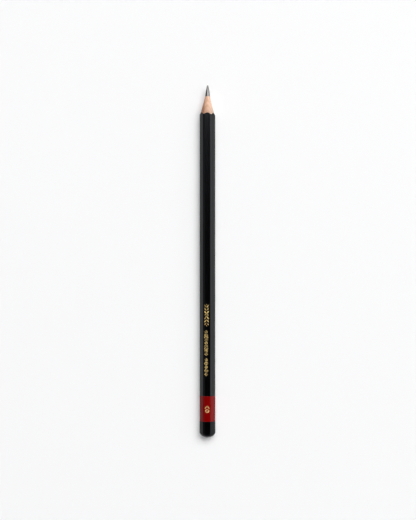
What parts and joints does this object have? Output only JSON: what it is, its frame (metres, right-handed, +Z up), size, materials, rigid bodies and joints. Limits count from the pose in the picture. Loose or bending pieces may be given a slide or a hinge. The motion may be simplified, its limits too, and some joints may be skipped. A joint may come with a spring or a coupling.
{
  "type": "graphite pencil",
  "caption": "Sharpened hexagonal graphite pencil with a gloss black lacquered barrel, gold ornament, red band and black domed end.",
  "frame": {"origin": "under the middle of the pencil's length and width, on the surface that it lies on", "axes": "+X along the pencil to its point, +Y to the left when facing the point, +Z up, square to the flat with the gold ornament"},
  "size_m": [0.175, 0.0078, 0.007],
  "materials": {
    "graphite": "satin",
    "glue": "satin",
    "case_wood": "matte",
    "primer": "matte",
    "black_lacquer": "gloss",
    "red_lacquer": "gloss",
    "gold_foil": "satin"
  },
  "bodies": {
    "root": {"graphite_lead": "graphite", "lead_glue_sleeve": "glue", "slat_upper": "case_wood", "slat_lower": "case_wood", "glue_line_left": "glue", "glue_line_right": "glue", "primer_coat": "primer", "black_lacquer": "black_lacquer", "red_dip_coat": "red_lacquer", "black_end_dip": "black_lacquer", "gold_frieze_front": "gold_foil", "gold_frieze_middle": "gold_foil", "gold_frieze_rear": "gold_foil", "gold_band_mark": "gold_foil"}
  },
  "joints": []
}
